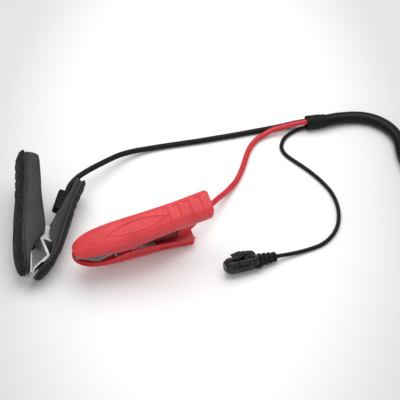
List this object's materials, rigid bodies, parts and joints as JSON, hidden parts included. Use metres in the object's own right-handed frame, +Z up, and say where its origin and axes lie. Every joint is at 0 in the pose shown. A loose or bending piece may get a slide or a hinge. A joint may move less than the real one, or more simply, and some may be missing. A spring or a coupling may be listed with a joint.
{
  "type": "battery tester lead set",
  "caption": "Battery tester lead set: red and black spring clamps and a latching sensor connector on leads that join in a sleeve to a heavy trunk cable with a round plug.",
  "frame": {"origin": "bottom centre of the box round the two clamps, on the plane that the set lies on", "axes": "+Z up; +X from the black clamp to the red clamp and on to the coiled trunk; +Y from the clamps to the splitter sleeve"},
  "size_m": [0.5406, 0.2225, 0.0673],
  "materials": {
    "red_grip": "satin",
    "red_shell": "satin",
    "red_jacket": "satin",
    "red_rubber": "matte",
    "black_grip": "matte",
    "black_shell": "satin",
    "black_jacket": "satin",
    "black_rubber": "matte",
    "jaw_steel": "satin",
    "rivet_steel": "satin",
    "spring_steel": "satin",
    "tinned_brass": "satin",
    "thin_jacket": "satin",
    "connector_plastic": "satin",
    "trunk_jacket": "satin",
    "strap": "matte",
    "plug_plastic": "satin",
    "plug_ring_plastic": "satin",
    "insert_plastic": "matte"
  },
  "bodies": {
    "lead_set": {"red_cable_grip": "red_grip", "red_cable_arm": "red_shell", "red_cable_jaw": "jaw_steel", "red_cable_rivets": "rivet_steel", "red_pivot_pin": "rivet_steel", "red_torsion_spring": "spring_steel", "red_crimp": "tinned_brass", "red_cord_grommet": "red_rubber", "red_lead": "red_jacket", "black_cable_grip": "black_grip", "black_cable_arm": "black_shell", "black_cable_jaw": "jaw_steel", "black_cable_rivets": "rivet_steel", "black_pivot_pin": "rivet_steel", "black_torsion_spring": "spring_steel", "black_crimp": "tinned_brass", "black_cord_grommet": "black_rubber", "black_lead": "black_jacket", "splitter_sleeve": "black_rubber", "sensor_lead": "thin_jacket", "sensor_boot": "black_rubber", "sensor_housing": "connector_plastic", "sensor_contacts": "tinned_brass", "trunk_cable": "trunk_jacket", "trunk_coil": "trunk_jacket", "coil_tie": "strap", "trunk_tail": "trunk_jacket", "plug_boot": "black_rubber", "plug_barrel": "plug_plastic", "plug_insert": "insert_plastic", "plug_pins": "tinned_brass"},
    "red_long_side": {"red_long_grip": "red_grip", "red_long_arm": "red_shell", "red_long_jaw": "jaw_steel", "red_long_rivets": "rivet_steel"},
    "black_long_side": {"black_long_grip": "black_grip", "black_long_arm": "black_shell", "black_long_jaw": "jaw_steel", "black_long_rivets": "rivet_steel"},
    "latch": {"sensor_latch": "connector_plastic"},
    "cap": {"sensor_cap": "connector_plastic"},
    "coupling_ring": {"plug_ring": "plug_ring_plastic"}
  },
  "joints": [
    {"name": "red_clamp_hinge", "type": "hinge", "parent": "lead_set", "child": "red_long_side", "pos_m": [0.0121, -0.0348, 0.03185], "axis": [-0.3343, 0.8783, 0.3417], "range_deg": [0, 24], "stiffness_Nm_per_rad": 2.5, "springref_deg": -34.38, "deforming": ["red_torsion_spring"]},
    {"name": "black_clamp_hinge", "type": "hinge", "parent": "lead_set", "child": "black_long_side", "pos_m": [-0.0659, -0.0171, 0.0204], "axis": [-0.3645, 0.1385, -0.9209], "range_deg": [0, 24], "stiffness_Nm_per_rad": 2.5, "springref_deg": -34.38, "deforming": ["black_torsion_spring"]},
    {"name": "sensor_latch_rock", "type": "hinge", "parent": "lead_set", "child": "latch", "pos_m": [0.11878, -0.03903, 0.01617], "axis": [-0.3478, 0.8601, -0.3732], "range_deg": [0, 4], "stiffness_Nm_per_rad": 0.05, "springref_deg": -5.73},
    {"name": "sensor_cap_slide", "type": "slide", "parent": "lead_set", "child": "cap", "axis": [-0.9361, -0.3407, 0.0872], "range_m": [0, 0.012]},
    {"name": "plug_ring_turn", "type": "hinge", "parent": "lead_set", "child": "coupling_ring", "pos_m": [0.38083, 0.13643, 0.013], "axis": [-0.7431, 0.6691, 0], "range_deg": [0, 90]}
  ]
}
